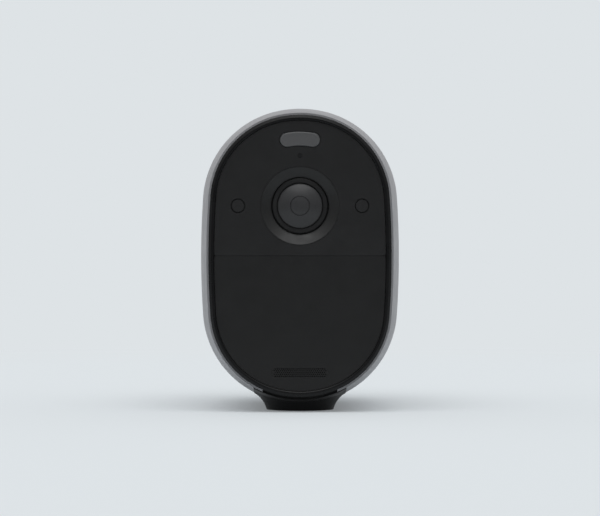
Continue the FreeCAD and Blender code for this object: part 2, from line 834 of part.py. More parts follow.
def filter_tray():
    """A four-sided tray with the rails that the carriage slides between."""
    tray = Piece("filter_tray")
    tray.add(front(20.0), 5.5, ring_rectangle(13.5, 34.8, 59.8, 1.1))
    upper = dim.lens_height + 4.25 + 0.35

    def upper_rail(outline):
        centred(outline, 12.6, upper, upper + 1.0)

    def upper_lip(outline):
        centred(outline, 12.6, upper - 1.0, upper + 1.0)

    lower = dim.lens_height - 4.25 - 0.35

    def lower_rails(outline):
        rectangle(outline, 5.8, 12.6, lower - 1.0, lower)
        rectangle(outline, -12.6, -5.8, lower - 1.0, lower)

    def lower_lips(outline):
        rectangle(outline, 5.8, 12.6, lower - 1.0, lower + 1.0)
        rectangle(outline, -12.6, -5.8, lower - 1.0, lower + 1.0)

    tray.add(front(20.0), 2.3, upper_rail)
    tray.add(front(21.6), 0.7, upper_lip)
    tray.add(front(20.0), 2.3, lower_rails)
    tray.add(front(21.6), 0.7, lower_lips)


def ring_rectangle(half_width, low, high, wall):
    return several(with_size(centred, half_width, low, high),
                   with_size(centred, half_width - wall, low + wall, high - wall))


def filter_carriage():
    """A frame with two panes and a slotted tab that the rotor's pin drives."""
    level = dim.lens_height
    spacing = dim.pane_spacing
    frame = Piece("filter_slider")
    start = 20.3

    def about(across, half_width, half_height, up=0.0):
        left, right = across - half_width, across + half_width
        return with_size(rectangle, left, right, up - half_height, up + half_height)

    frame.add(front(start, level), 1.0, about(spacing, 7.5, 4.25))
    frame.add(front(start, level), 1.0, about(spacing, 1.7, 2.15, up=-6.15))
    left, right = as_size(0.0), spacing * 2
    frame.cut(front(start, level), 1.0, several(about(left, 2.85, 2.85), about(right, 2.85, 2.85)))
    frame.cut(front(start, level), 0.45, several(about(left, 3.3, 3.3), about(right, 3.3, 3.3)))
    frame.cut(front(start, level), 1.0, about(spacing, 0.625, 1.35, up=-6.05))
    for label, across in (("infrared_cut_pane", left), ("clear_pane", right)):
        Piece(label).add(front(start + GAP, level), 0.4, about(across, 3.25, 3.25))


def filter_rotor():
    """A magnet with an arm whose pin moves the carriage."""
    axis_height = dim.lens_height - dim.rotor_drop
    lean = dim.rotor_lean
    across, up = dim.rotor_arm * sine(lean), dim.rotor_arm * cosine(lean)
    rotor = Piece("filter_rotor")

    def arm(outline):
        half = 1.1
        aside, along = half * cosine(lean), half * sine(lean)
        polygon(outline, (-aside, along), (aside, -along), (across + aside, up - along),
                (across - aside, up + along))

    rotor.add(front(21.6, axis_height), 0.7, arm)
    rotor.add(front(21.6, axis_height), 3.0, with_size(circle, 2.6))
    rotor.add(front(20.4, axis_height), 1.9, with_size(circle, 0.5, across, up))
    rotor.add(front(24.5, axis_height), 0.8, with_size(circle, 0.6))


def filter_motor():
    """The rotor's iron yoke with its bearing, and the two coils on the yoke's arms."""
    axis_height = dim.lens_height - dim.rotor_drop
    yoke = Piece("filter_motor_yoke")
    yoke.add(front(22.6, axis_height), 2.9, with_size(centred, 4.4, -4.0, 4.0))
    yoke.add(front(23.1, axis_height), 1.6, with_size(centred, 11.6, -1.5, 1.5))
    yoke.cut(front(22.6, axis_height), 2.3, with_size(circle, 2.9))
    yoke.cut(front(22.6, axis_height), 2.9, with_size(circle, 0.65))
    coils = []
    for name, facing in (("right_coil", 1), ("left_coil", -1)):
        coil = Piece(name, kept=False)
        near = Plane("YZ_Plane", (behind(23.9), axis_height, 5.4 if facing > 0 else -10.6))
        outside, inside = with_size(centred, 1.25, -3.4, 3.4), with_size(centred, 0.85, -1.55, 1.55)
        coil.add(near, 5.2, several(outside, inside))
        coils.append(coil)
    group("filter_motor_coils", coils)


# ---------------------------------------------------------------- lights and sensors on the face


def spotlight():
    """Window, reflector, two light-emitting diodes, their board and a finned heat sink."""
    start = dim.panel_depth + dim.panel_thickness
    window = Piece("spotlight_lens")
    window.add(front(dim.panel_depth - 0.05, dim.lens_height), dim.panel_thickness + GAP,
               with_size(arched_slot, dim.spotlight_half_height))
    window.round_front(dim.spotlight_round, outer=True)
    window.add(front(start, dim.lens_height), 0.5, with_size(arched_slot, 2.9))
    reflector = Piece("spotlight_reflector")
    mouth = start + 0.5
    base = as_size(6.0)
    reflector.add(front(mouth, dim.lens_height), base - mouth, with_size(arched_slot, 2.9))
    reflector.loft([(front(mouth, dim.lens_height), with_size(arched_slot, 2.4)),
                    (front(base, dim.lens_height), with_size(arched_slot, 1.5))],
                   kind="PartDesign::SubtractiveLoft")
    board = Piece("spotlight_board")
    board.add(front(base), 1.0, with_size(centred, 7.0, 63.5, 72.3))
    lamps = []
    for name, facing in (("right_lamp", 1), ("left_lamp", -1)):
        lamp = Piece(name, kept=False)
        plane = Plane("XZ_Plane", (dim.spotlight_half_span * facing, dim.lens_height + 16.68, -behind(5.2)))
        lamp.add(plane, 0.8, with_size(centred, 1.0, -1.0, 1.0))
        lamps.append(lamp)
    group("spotlight_lamps", lamps)
    sink = Piece("heat_sink")
    sink.add(front(7.0), 1.0, with_size(centred, 7.0, 64.2, 72.0))

    def fins(outline):
        for number in range(6):
            left = -7.0 + number * 2.64
            rectangle(outline, left, left + 0.8, 64.2, 72.0)

    sink.add(front(7.0), 5.0, fins)


def infrared_lights():
    """Two windows with the light-emitting diodes, their shrouds and their boards behind them."""
    level = dim.lens_height
    across = dim.infrared_across
    start = dim.panel_depth + dim.panel_thickness
    groups = {"infrared_windows": [], "infrared_shrouds": [], "infrared_lamps": [], "infrared_boards": []}
    for name, place in (("right", across), ("left", -across)):
        axis = Plane("YZ_Plane", (behind(0.0), level, place))
        groups["infrared_windows"].append(turned(f"{name}_infrared_window", axis, (
            (dim.panel_depth, 0.0), (dim.panel_depth, dim.infrared_radius), (start, dim.infrared_radius),
            (start, 2.4), (start + 0.5, 2.4), (start + 0.5, 0.0)), kept=False))
        groups["infrared_shrouds"].append(turned(f"{name}_shroud", axis, (
            (2.6, 1.9), (2.6, 2.6), (6.0, 2.6), (6.0, 1.9)), kept=False))
        groups["infrared_lamps"].append(turned(f"{name}_infrared_lamp", axis, (
            (3.2, 0.0), (4.4, 1.5), (6.0, 1.5), (6.0, 0.0)), arcs={0: -cap_radius(1.5, 1.2)}, kept=False))
        groups["infrared_boards"].append(turned(f"{name}_infrared_board", axis, (
            (6.0, 0.0), (6.0, 2.6), (7.0, 2.6), (7.0, 0.0)), kept=False))
    for label, members in groups.items():
        group(label, members)


def light_sensor():
    """The light pipe in the upper panel and the sensor behind it."""
    plane = Plane("YZ_Plane", (behind(0.0), dim.sensor_height, 0.0))
    start = dim.panel_depth + dim.panel_thickness
    turned("sensor_light_pipe", plane, (
        (dim.panel_depth, 0.0), (dim.panel_depth, dim.sensor_radius),
        (start, dim.sensor_radius), (start, 0.9),
        (start + 0.5, 0.9), (start + 0.5, dim.sensor_radius), (5.2, dim.sensor_radius), (5.2, 0.0)))
    Piece("light_sensor").add(front(5.3, dim.sensor_height), 0.7, with_size(centred, 0.8, -0.8, 0.8))


def motion_sensor():
    """The can of the heat sensor behind the lower panel, with the filter pane in its top."""
    plane = Plane("YZ_Plane", (behind(0.0), dim.motion_sensor_height, 0.0))
    turned("motion_sensor", plane, ((21.0, 0.0), (21.0, 4.1), (24.9, 4.1), (24.9, 4.6),
                                    (dim.board_front, 4.6), (dim.board_front, 0.0)))


# ---------------------------------------------------------------- electronics


def main_board():
    board = Piece("main_board")
    near = front(dim.board_front, dim.centre_height)
    board.add(near, dim.board_thickness, with_size(oval, dim.board_inset))
    board.cut(front(dim.board_front), dim.board_thickness, with_size(centred, 40.0, -10.0, 12.0))
    board.cut(front(dim.board_front), dim.board_thickness, at_board_screws(0.95))


def at_board_screws(radius):
    return several(*(with_size(mirrored_circles, radius, 12.0, level) for level in (16.0, 63.7)))


def board_parts():
    """What is soldered to the main board."""
    Piece("image_sensor").add(front(24.1, dim.lens_height), 1.4, with_size(centred, 4.5, -3.75, 3.75))
    can = Piece("shield_can")
    can.add(front(23.4), 2.1, with_size(rectangle, -17.0, -6.4, 19.0, 31.5))
    can.cut(front(23.65), 1.85, with_size(rectangle, -16.75, -6.65, 19.25, 31.25))
    chip = Piece("processor", kept=False)
    chip.add(front(24.3), 1.2, with_size(rectangle, 7.0, 15.0, 22.5, 30.5))
    capacitors = [Piece(f"capacitor_{number}", kept=False).add(
        front(22.9), 2.6, with_size(circle, 1.1, 7.0 + 2.7 * number, 20.2)) for number in range(3)]
    group("board_components", [chip] + capacitors)
    antenna = Piece("antenna")
    antenna.add(front(22.0), 0.3, with_size(centred, 8.0, 66.8, 69.8))
    antenna.add(front(22.0), 3.5, several(with_size(rectangle, -8.0, -7.4, 66.8, 69.8),
                                          with_size(rectangle, 0.0, 0.6, 66.8, 69.8)))
    microphone = Piece("microphone")
    microphone.add(front(3.7), 1.1, with_size(rectangle, 9.4, 12.9, 11.6, 14.4))


def inner_chassis():
    """The plate between the main board and the batteries, with the board's standoffs."""
    chassis = Piece("inner_chassis")
    centre = dim.centre_height
    thickness = dim.ledge_front - dim.chassis_front
    rear_of_board = dim.board_front + dim.board_thickness
    chassis.add(front(dim.chassis_front, centre), thickness, with_size(oval, 3.2))
    chassis.cut(front(dim.chassis_front), thickness, with_size(centred, 40.0, -10.0, 9.2))
    chassis.add(front(rear_of_board), dim.ledge_front - rear_of_board, at_board_screws(2.0))
    chassis.cut(front(rear_of_board), dim.ledge_front - rear_of_board, at_board_screws(0.85))
    chassis.cut(front(dim.chassis_front), thickness, with_size(centred, 6.0, 71.6, 74.0))
    for level in (8.0, -8.0):
        near = front(dim.chassis_front, centre)
        chassis.cut(near, thickness, with_size(mirrored_circles, 1.0, 20.4, level))


def batteries():
    """Two upright cells in tandem, the sleeve that holds them and the strips that join and connect them."""
    low = dim.centre_height - dim.cell_length / 2
    high = dim.centre_height + dim.cell_length / 2
    cells = []
    for name, depth in (("front_cell", dim.front_cell_depth), ("rear_cell", dim.rear_cell_depth)):
        cells.append(upright(name, depth, (
            (0.0, low), (dim.cell_radius, low), (dim.cell_radius, high - 1.2),
            (dim.cell_radius - 0.5, high - 0.7),
            (3.0, high - 0.7), (3.0, high), (0.0, high)), kept=False))
    group("battery_cells", cells)
    sleeve = Piece("battery_sleeve")
    sleeve.add(plan(dim.centre_height - 20.0), 40.0, with_size(centred, 11.2, dim.ledge_front, 69.0))
    for depth in (dim.front_cell_depth, dim.rear_cell_depth):
        sleeve.cut(plan(dim.centre_height - 20.0, depth), 40.0, with_size(circle, dim.cell_radius + 0.1))
    link = Piece("cell_link", kept=False)
    link.add(plan(low - 0.2), 0.2, with_size(centred, 3.0, 36.0, 61.0))
    rear_of_board = dim.board_front + dim.board_thickness
    front_strip = Piece("front_strip", kept=False)
    front_strip.add(plan(high), 0.2, with_size(rectangle, -2.6, -0.3, rear_of_board, 41.0))
    rear_strip = Piece("rear_strip", kept=False)
    rear_strip.add(plan(high), 0.2, with_size(rectangle, 0.3, 2.6, rear_of_board, 60.0))
    group("battery_tabs", (link, front_strip, rear_strip))


def mount_insert():
    """The brass insert in the back, with a blind bore for a camera mount's screw."""
    plane = Plane("YZ_Plane", (behind(0.0), dim.insert_height, 0.0))
    mouth = dim.body_depth - 0.2
    turned("mount_insert", plane, (
        (mouth - 8.4, 0.0), (mouth - 8.4, 4.18), (mouth, 4.18), (mouth, 2.55), (mouth - 8.0, 2.55),
        (mouth - 8.0, 0.0)))


# ---------------------------------------------------------------- fasteners


def screws():
    """Housing screws from the carrier, chassis screws into the ledges and board screws into the standoffs."""
    centre = dim.centre_height
    housing, chassis, board = [], [], []
    for facing in (1, -1):
        for level in (1, -1):
            name = f"{'right' if facing > 0 else 'left'}_{'upper' if level > 0 else 'lower'}"
            housing.append(screw(f"{name}_housing_screw", dim.boss_across * facing,
                                 centre + dim.boss_up * level, 2.4, 1.3, 16.0, 1.7, 0.95))
            chassis.append(screw(f"{name}_chassis_screw", 20.4 * facing, centre + 8.0 * level,
                                 27.0, 1.0, 32.4, 1.7, 0.85))
            board.append(screw(f"{name}_board_screw", 12.0 * facing, 63.7 if level > 0 else 16.0,
                               24.4, 1.1, 29.3, 1.6, 0.8))
    group("housing_screws", housing)
    group("chassis_screws", chassis)
    group("board_screws", board)


def upright_screw(label, across, depth, head_face, head_length, shank_end, head_radius, shank_radius):
    """A socket-headed screw that points up or down."""
    under_head = head_face + math.copysign(head_length, shank_end - head_face)
    piece = upright(label, depth, ((0.0, head_face), (head_radius, head_face), (head_radius, under_head),
                                   (shank_radius, under_head), (shank_radius, shank_end), (0.0, shank_end)),
                    across=across, kept=False)
    socket_end = (head_face + under_head) / 2
    plane = Plane("XY_Plane", (across, behind(depth), min(head_face, socket_end)))
    return piece.cut(plane, abs(socket_end - head_face), with_size(hexagon, head_radius * 0.5))


# ---------------------------------------------------------------- foot


def foot():
    """The flared foot with its thin saddle and lip under the shell, its neck and the holes in it."""
    base = Piece("foot")
    base.loft(shell_sections(grow=dim.saddle_thickness))
    foot_flare(base)
    base.loft([(front(dim.rim_depth), with_size(lip_outline, dim.lip_half_width, dim.lip_height)),
               (front(dim.foot_front_centre),
                with_size(lip_outline, dim.lip_half_width, dim.lip_height - dim.lip_fall))])

    def beside_saddle(outline):
        """Everything but a strip that is rounded at its back; its front end lies clear of the camera."""
        rectangle(outline, -40.0, 40.0, -30.0, 89.0)
        stadium(outline, (0.0, -14.0), (0.0, dim.foot_rear_centre), dim.saddle_half_width)

    base.cut(plan(-1.0), 90.0, beside_saddle)
    base.cut(plan(7.5), 80.0, with_size(rectangle, -40.0, 40.0, -1.0, 91.0))
    base.loft(shell_sections(grow=GAP), kind="PartDesign::SubtractiveLoft")
    foot_hook(base)
    foot_neck(base)
    foot_openings(base)


def foot_flare(base):
    """The foot's own body: a straight stretch between two turned ends, all with the same hollow flank."""
    top = as_size(7.5)
    flare = (
        (-dim.foot_half_width, dim.foot_bottom), (dim.foot_half_width, dim.foot_bottom),
        (dim.foot_flare, dim.foot_flare_height), (dim.foot_flare, top),
        (-dim.foot_flare, top), (-dim.foot_flare, dim.foot_flare_height))
    bow = -dim.foot_flare_radius
    base.add(front(dim.foot_front_centre), dim.foot_rear_centre - dim.foot_front_centre,
             with_size(polygon, *flare, arcs={1: bow, 5: bow}))
    half = ((0.0, dim.foot_bottom),) + flare[1:4] + ((0.0, top),)
    for depth in (dim.foot_front_centre, dim.foot_rear_centre):
        base.turn(front(depth), with_size(polygon, *half, arcs={1: bow}), axis="V_Axis")


def lip_outline(outline, half_width, low):
    """A section of the lip: a broad arc below and square above."""
    radius = dim.lip_radius
    sag = radius - Size(math.sqrt(radius.value ** 2 - half_width.value ** 2),
                        f"sqrt({radius.formula} ^ 2 - {half_width.formula} ^ 2)")
    polygon(outline, (-half_width, low + sag), (half_width, low + sag),
            (half_width, low + sag + 3.0), (-half_width, low + sag + 3.0), arcs={0: radius})


def foot_hook(base):
    """The tongue that fills the notch in the shell's rim, where the foot ends."""
    depth, length = dim.rim_depth + 0.6, 0.9
    base.add(front(depth), length, with_size(lip_outline, dim.hook_half_width, dim.lip_height))
    base.cut(front(depth, dim.centre_height), length, with_size(oval, dim.mouth_inset))


def foot_neck(base):
    """The hollow neck that goes up through the shell and holds the charging board."""
    half_width = dim.neck_half_width
    base.add(plan(1.2), dim.neck_top - 1.2, with_size(centred, half_width, dim.neck_front, dim.neck_back))
    base.cut(plan(1.7), 6.0,
             with_size(centred, half_width - 0.75, dim.neck_front + 0.8, dim.neck_back - 0.6))


def foot_openings(base):
    """The groove for the rubber ring and the openings for the cover, its pins, the button and the screw."""
    front_centre, rear_centre = (0.0, dim.foot_front_centre), (0.0, dim.foot_rear_centre)
    base.cut(plan(0.0), 1.05, several(
        with_size(stadium, front_centre, rear_centre, dim.pad_outer_radius + GAP),
        with_size(stadium, front_centre, rear_centre, dim.pad_inner_radius - GAP)))
    gap = 0.3
    base.cut(plan(0.0), 1.8, with_size(
        cover_outline, dim.cover_half_width + gap, dim.cover_front - gap, dim.cover_axis_depth + 1.2, 2.3))
    base.cut(side(-5.6, dim.cover_axis_height), 11.2, with_size(circle, 0.45, dim.cover_axis_depth))
    base.cut(plan(0.0, dim.button_depth), 1.8, with_size(circle, dim.button_radius + gap))
    base.cut(plan(0.0, 55.0), 3.0, with_size(circle, 1.05))
    base.cut(plan(0.0, 55.0), 1.1, with_size(circle, 2.0))


def cover_outline(outline, half_width, near, far, corner):
    """A rectangle in plan whose two front corners are rounded."""
    corner = as_size(corner)
    polygon(outline, (corner - half_width, near), (half_width - corner, near), (half_width, near + corner),
            (half_width, far), (-half_width, far), (-half_width, near + corner), arcs={1: corner, 5: corner})


def foot_pad():
    """The rubber ring that the camera stands on."""
    pad = Piece("foot_pad")
    ends = (0.0, dim.foot_front_centre), (0.0, dim.foot_rear_centre)
    pad.add(plan(0.0), 1.0, several(with_size(stadium, *ends, dim.pad_outer_radius),
                                    with_size(stadium, *ends, dim.pad_inner_radius)))


def port_cover():
    """The hinged rubber-backed cover of the charging port, with its plug and hinge pins."""
    cover = Piece("port_cover")
    axis, height = dim.cover_axis_depth, dim.cover_axis_height
    half = 0.5
    outline = with_size(cover_outline, dim.cover_half_width, dim.cover_front, axis, 2.0)
    cover.add(plan(height - half), 2 * half, outline)
    cover.add(side(-dim.cover_half_width, height), dim.cover_half_width * 2, with_size(circle, half, axis))
    cover.add(side(-5.4, height), 10.8, with_size(circle, 0.4, axis))
    cover.add(plan(height), 2.05, with_size(pill, 2.85, 0.7, 0.0, dim.port_depth + 0.2))


def charging_board():
    """The board over the neck with its downward socket, and the bracket that clamps it."""
    board = Piece("charging_board")
    board.add(plan(dim.neck_top), 0.8, with_size(centred, 6.4, dim.neck_front + 0.1, dim.neck_back - 0.1))
    socket = Piece("charging_socket")
    level = dim.neck_top - 4.1
    socket.add(plan(level, dim.port_depth), 4.1, with_size(pill, 2.85, 1.65))
    socket.cut(plan(level, dim.port_depth), 3.7, with_size(pill, 2.85, 1.25))
    socket.add(plan(level + 1.7, dim.port_depth), 2.2, with_size(centred, 3.3, -0.35, 0.35))
    bracket = Piece("foot_bracket")
    bracket.add(plan(dim.neck_top + 0.8), 0.8, with_size(centred, 11.2, 14.0, 28.0))
    bracket.cut(plan(dim.neck_top + 0.8, 21.0), 0.8, with_size(mirrored_circles, 1.1, 9.0))


def pairing_button():
    """The push button in the foot, with a stem that works the switch above it."""
    radius = dim.button_radius
    upright("pairing_button", dim.button_depth, (
        (0.0, 0.35), (radius - 0.3, 0.35), (radius, 0.65), (radius, 2.0),
        (radius + 0.5, 2.0), (radius + 0.5, 2.8),
        (1.1, 2.8), (1.1, 4.9), (0.0, 4.9)))
    switch = Piece("pairing_switch")
    switch.add(plan(dim.neck_top - 1.5, dim.button_depth), 1.5, with_size(centred, 2.6, -2.6, 2.6))
    switch.cut(plan(dim.neck_top - 1.5, dim.button_depth), 1.2, with_size(circle, 1.2))


def foot_screws():
    group("foot_screws", (
        upright_screw("right_foot_screw", 9.0, 21.0, 8.8, 1.2, 4.3, 1.8, 0.95),
        upright_screw("left_foot_screw", -9.0, 21.0, 8.8, 1.2, 4.3, 1.8, 0.95),
        upright_screw("rear_foot_screw", 0.0, 55.0, 0.5, 0.6, 5.8, 1.9, 0.95)))


# ---------------------------------------------------------------- build


def check_and_export():
    """Stops at the first failed feature or broken shape, then writes one file for each piece."""
    doc.recompute()
    failed = [item.Label for item in doc.Objects if {"Invalid", "Error"} & set(item.State)]
    if failed:
        raise RuntimeError(f"features failed: {failed}")
    for label, item in pieces.items():
        if item.Shape.isNull() or not item.Shape.isValid() or item.Shape.Volume <= 0:
            raise RuntimeError(f"{label} has no valid solid")
    os.makedirs("parts", exist_ok=True)
    for label, item in pieces.items():
        item.Shape.exportStep(f"parts/{label}.step")
    print(f"{len(pieces)} pieces written")


for build in (rear_housing, front_bezel, front_gasket, front_window, motion_lens, speaker_grille,
              front_carrier, speaker_mesh, speaker, lens, lens_holder, filter_tray, filter_carriage,
              filter_rotor, filter_motor, spotlight, infrared_lights, light_sensor, motion_sensor,
              main_board, board_parts, inner_chassis, batteries, mount_insert, screws, foot, foot_pad,
              port_cover, charging_board, pairing_button, foot_screws):
    build()
check_and_export()
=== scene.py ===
"""The look of a wire-free spotlight camera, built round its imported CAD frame.

Everything is in metres, in the frame's own axes: +Z up, the camera faces -Y. MM turns the millimetres
in which such an object is designed into metres.
"""

import json
import math

import bpy
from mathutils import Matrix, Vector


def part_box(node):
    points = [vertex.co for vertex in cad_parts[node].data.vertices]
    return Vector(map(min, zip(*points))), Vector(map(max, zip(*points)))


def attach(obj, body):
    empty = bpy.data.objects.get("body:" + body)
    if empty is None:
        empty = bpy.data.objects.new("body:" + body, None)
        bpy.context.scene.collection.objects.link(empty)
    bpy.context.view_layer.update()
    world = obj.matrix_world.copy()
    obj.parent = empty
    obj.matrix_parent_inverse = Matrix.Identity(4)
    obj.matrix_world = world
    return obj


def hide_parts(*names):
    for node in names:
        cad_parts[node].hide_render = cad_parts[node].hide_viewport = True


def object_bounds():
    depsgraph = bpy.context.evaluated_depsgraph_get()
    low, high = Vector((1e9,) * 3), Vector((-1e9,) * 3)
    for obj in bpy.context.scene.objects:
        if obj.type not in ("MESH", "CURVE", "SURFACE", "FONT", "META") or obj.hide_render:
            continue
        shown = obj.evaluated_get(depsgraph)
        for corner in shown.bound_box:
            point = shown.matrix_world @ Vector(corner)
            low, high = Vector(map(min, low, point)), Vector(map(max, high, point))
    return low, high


MM = 0.001

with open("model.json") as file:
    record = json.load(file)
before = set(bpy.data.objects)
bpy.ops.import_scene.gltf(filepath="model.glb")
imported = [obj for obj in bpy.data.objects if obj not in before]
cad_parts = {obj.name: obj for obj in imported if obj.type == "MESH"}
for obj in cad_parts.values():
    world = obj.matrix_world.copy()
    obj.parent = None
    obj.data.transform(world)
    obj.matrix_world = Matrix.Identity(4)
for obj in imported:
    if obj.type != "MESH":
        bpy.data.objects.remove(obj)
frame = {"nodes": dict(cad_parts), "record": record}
cad_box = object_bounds()
nodes = frame["nodes"]


# ---------------------------------------------------------------- places, read from the frame


def middle(node):
    low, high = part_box(node)
    return (low + high) / 2


FRONT = cad_box[0].y
LENS = middle("lens_front_glass")
LENS_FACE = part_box("lens_front_glass")[0].y
INSERT = middle("mount_insert")
INSERT_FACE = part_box("mount_insert")[1].y


# ---------------------------------------------------------------- camera, floor and light

VIEW_DISTANCE = 777 * MM
VIEW_HEIGHT = 39.1 * MM
FOCAL_LENGTH = 184.4
SENSOR_WIDTH = 36.0

BACKDROP = (0.7304, 0.7681, 0.7914)
FLOOR_RADIUS = 60.0
FLOOR_SIDES = 96
FLOOR_MATT_RADIUS = 0.30
FLOOR_PLAIN_RADIUS = 0.48
FLOOR_REFLECTANCE = (0.590, 0.620, 0.639)
# What the object sees of the floor's own light: none close in front of it, and little far in front.
FLOOR_NEAR_FADE = (-0.15, 0.0)
FLOOR_FAR_FADE = (-0.5, 0.6)
FLOOR_FAR_AHEAD = 0.20
FLOOR_GLOW = (0.162, 0.170, 0.175)

# Radiance of the studio: the sweep behind the object, the dimmer sides and front, the even light overhead,
# and a soft lamp above and in front. LAMP_EDGE is where the lamp starts and is full, as the cosine of the
# angle from its middle; the three fades are where the light changes along a direction's Y or Z.
LIGHT_TINT = (0.985, 0.995, 1.0)
LIGHT_BEHIND = 0.85
LIGHT_BESIDE = 0.33
LIGHT_IN_FRONT = 0.22
LIGHT_OVERHEAD = 0.60
LAMP = 2.0
LAMP_EDGE = (0.80, 0.97)
LAMP_DIRECTION = (0.0, -0.42, 0.91)
FRONT_FADE = (-0.9, -0.2)
BACK_FADE = (0.0, 0.95)
HEIGHT_FADE = (0.05, 0.70)


def make_camera():
    data = bpy.data.cameras.new("camera")
    data.lens = FOCAL_LENGTH
    data.sensor_width = SENSOR_WIDTH
    data.clip_start = 10 * MM
    camera = bpy.data.objects.new("camera", data)
    camera.location = (0.0, FRONT - VIEW_DISTANCE, VIEW_HEIGHT)
    camera.rotation_euler = (math.pi / 2, 0.0, 0.0)
    bpy.context.scene.collection.objects.link(camera)
    bpy.context.scene.camera = camera


class Nodes:
    """Adds nodes to a tree and joins them; an input is either a value or another node's output."""

    def __init__(self, tree):
        self.tree = tree

    def add(self, kind, settings=None, **inputs):
        node = self.tree.nodes.new("ShaderNode" + kind)
        for name, value in (settings or {}).items():
            setattr(node, name, value)
        for name, value in inputs.items():
            self.feed(node.inputs[name.replace("_", " ")], value)
        return node

    def feed(self, socket, value):
        if isinstance(value, bpy.types.NodeSocket):
            self.tree.links.new(value, socket)
        elif socket.type == "RGBA" and len(value) == 3:
            socket.default_value = (*value, 1.0)
        else:
            socket.default_value = value

    def math(self, operation, first, second=0.0):
        node = self.tree.nodes.new("ShaderNodeMath")
        node.operation = operation
        self.feed(node.inputs[0], first)
        self.feed(node.inputs[1], second)
        return node.outputs[0]

    def ramp(self, value, low, high, from_value=0.0, to_value=1.0):
        """A smooth step from one value to another as the input goes from low to high."""
        node = self.tree.nodes.new("ShaderNodeMapRange")
        node.interpolation_type = "SMOOTHSTEP"
        for socket, amount in zip(("Value", "From Min", "From Max", "To Min", "To Max"),
                                  (value, low, high, from_value, to_value)):
            self.feed(node.inputs[socket], amount)
        return node.outputs["Result"]

    def blend(self, share, first, second):
        """A mix of two colours."""
        node = self.tree.nodes.new("ShaderNodeMix")
        node.data_type = "RGBA"
        self.feed(node.inputs["Factor"], share)
        self.feed(node.inputs[6], first)
        self.feed(node.inputs[7], second)
        return node.outputs[2]

    def noise(self, place, scale, detail=3.0, roughness=0.5):
        texture = self.add("TexNoise", Vector=place, Scale=scale, Detail=detail, Roughness=roughness)
        return texture.outputs["Fac"]


def make_light():
    """A studio all round: bright overhead, even at the sides and dim in front, where the camera is."""
    world = bpy.data.worlds.new("studio")
    bpy.context.scene.world = world
    world.use_nodes = True
    tree = world.node_tree
    tree.nodes.clear()
    make = Nodes(tree)
    direction = make.add("TexCoord").outputs["Generated"]
    parts = make.add("SeparateXYZ", Vector=direction)
    ahead = make.ramp(parts.outputs["Y"], *FRONT_FADE, LIGHT_IN_FRONT, LIGHT_BESIDE)
    back = make.ramp(parts.outputs["Y"], *BACK_FADE, 0.0, LIGHT_BEHIND - LIGHT_BESIDE)
    around = make.math("ADD", ahead, back)
    height = make.ramp(parts.outputs["Z"], *HEIGHT_FADE)
    even = make.math("ADD", make.math("MULTIPLY", around, make.math("SUBTRACT", 1.0, height)),
                     make.math("MULTIPLY", height, LIGHT_OVERHEAD))
    toward = make.add("VectorMath", {"operation": "DOT_PRODUCT"}, Vector=direction)
    toward.inputs[1].default_value = LAMP_DIRECTION
    lamp = make.ramp(toward.outputs["Value"], *LAMP_EDGE, 0.0, LAMP)
    strength = make.math("ADD", even, lamp)
    studio = make.add("Background", Color=LIGHT_TINT, Strength=strength)
    backdrop = make.add("Background", Color=BACKDROP)
    seen = make.add("LightPath").outputs["Is Camera Ray"]
    both = make.add("MixShader", Fac=seen)
    tree.links.new(studio.outputs[0], both.inputs[1])
    tree.links.new(backdrop.outputs[0], both.inputs[2])
    output = make.add("OutputWorld")
    tree.links.new(both.outputs[0], output.inputs["Surface"])


def make_floor():
    """A pale floor: matt round the object, where its shadow falls, and like the backdrop further out."""
    bpy.ops.mesh.primitive_circle_add(vertices=FLOOR_SIDES, radius=FLOOR_RADIUS, fill_type="NGON")
    floor = bpy.context.object
    floor.name = "floor"
    material = bpy.data.materials.new("floor")
    material.use_nodes = True
    tree = material.node_tree
    tree.nodes.clear()
    make = Nodes(tree)
    place = make.add("TexCoord").outputs["Object"]
    away = make.add("VectorMath", {"operation": "LENGTH"}, Vector=place).outputs["Value"]
    across = make.add("SeparateXYZ", Vector=place).outputs["Y"]
    seen = make.add("LightPath").outputs["Is Camera Ray"]
    near_glow = make.math("MAXIMUM", make.ramp(across, *FLOOR_NEAR_FADE), seen)
    matt = make.add("AddShader")
    tree.links.new(make.add("BsdfDiffuse", Color=FLOOR_REFLECTANCE).outputs[0], matt.inputs[0])
    near_light = make.add("Emission", Color=FLOOR_GLOW, Strength=near_glow)
    tree.links.new(near_light.outputs[0], matt.inputs[1])
    glow = make.ramp(across, *FLOOR_FAR_FADE, FLOOR_FAR_AHEAD)
    plain = make.add("Emission", Color=BACKDROP, Strength=make.math("MAXIMUM", glow, seen))
    surface = make.add("MixShader", Fac=make.ramp(away, FLOOR_MATT_RADIUS, FLOOR_PLAIN_RADIUS))
    tree.links.new(matt.outputs[0], surface.inputs[1])
    tree.links.new(plain.outputs[0], surface.inputs[2])
    one_sided = make.add("MixShader", Fac=make.add("NewGeometry").outputs["Backfacing"])
    tree.links.new(surface.outputs[0], one_sided.inputs[1])
    tree.links.new(make.add("BsdfTransparent").outputs[0], one_sided.inputs[2])
    output = make.add("OutputMaterial")
    tree.links.new(one_sided.outputs[0], output.inputs["Surface"])
    floor.data.materials.append(material)


# ---------------------------------------------------------------- materials
#
# Each finish is a colour and a roughness, then what sets it apart. "grain" is the size of the surface's
# texture and "relief" its depth, both in millimetres; "mottle" is how far the colour wanders and "smudge"
# how far the roughness does, as shares; "gloss" is how strongly a plastic or a glass reflects. MOTTLE_SIZE
# and SMUDGE_SIZE are how broad the patches are, in millimetres.

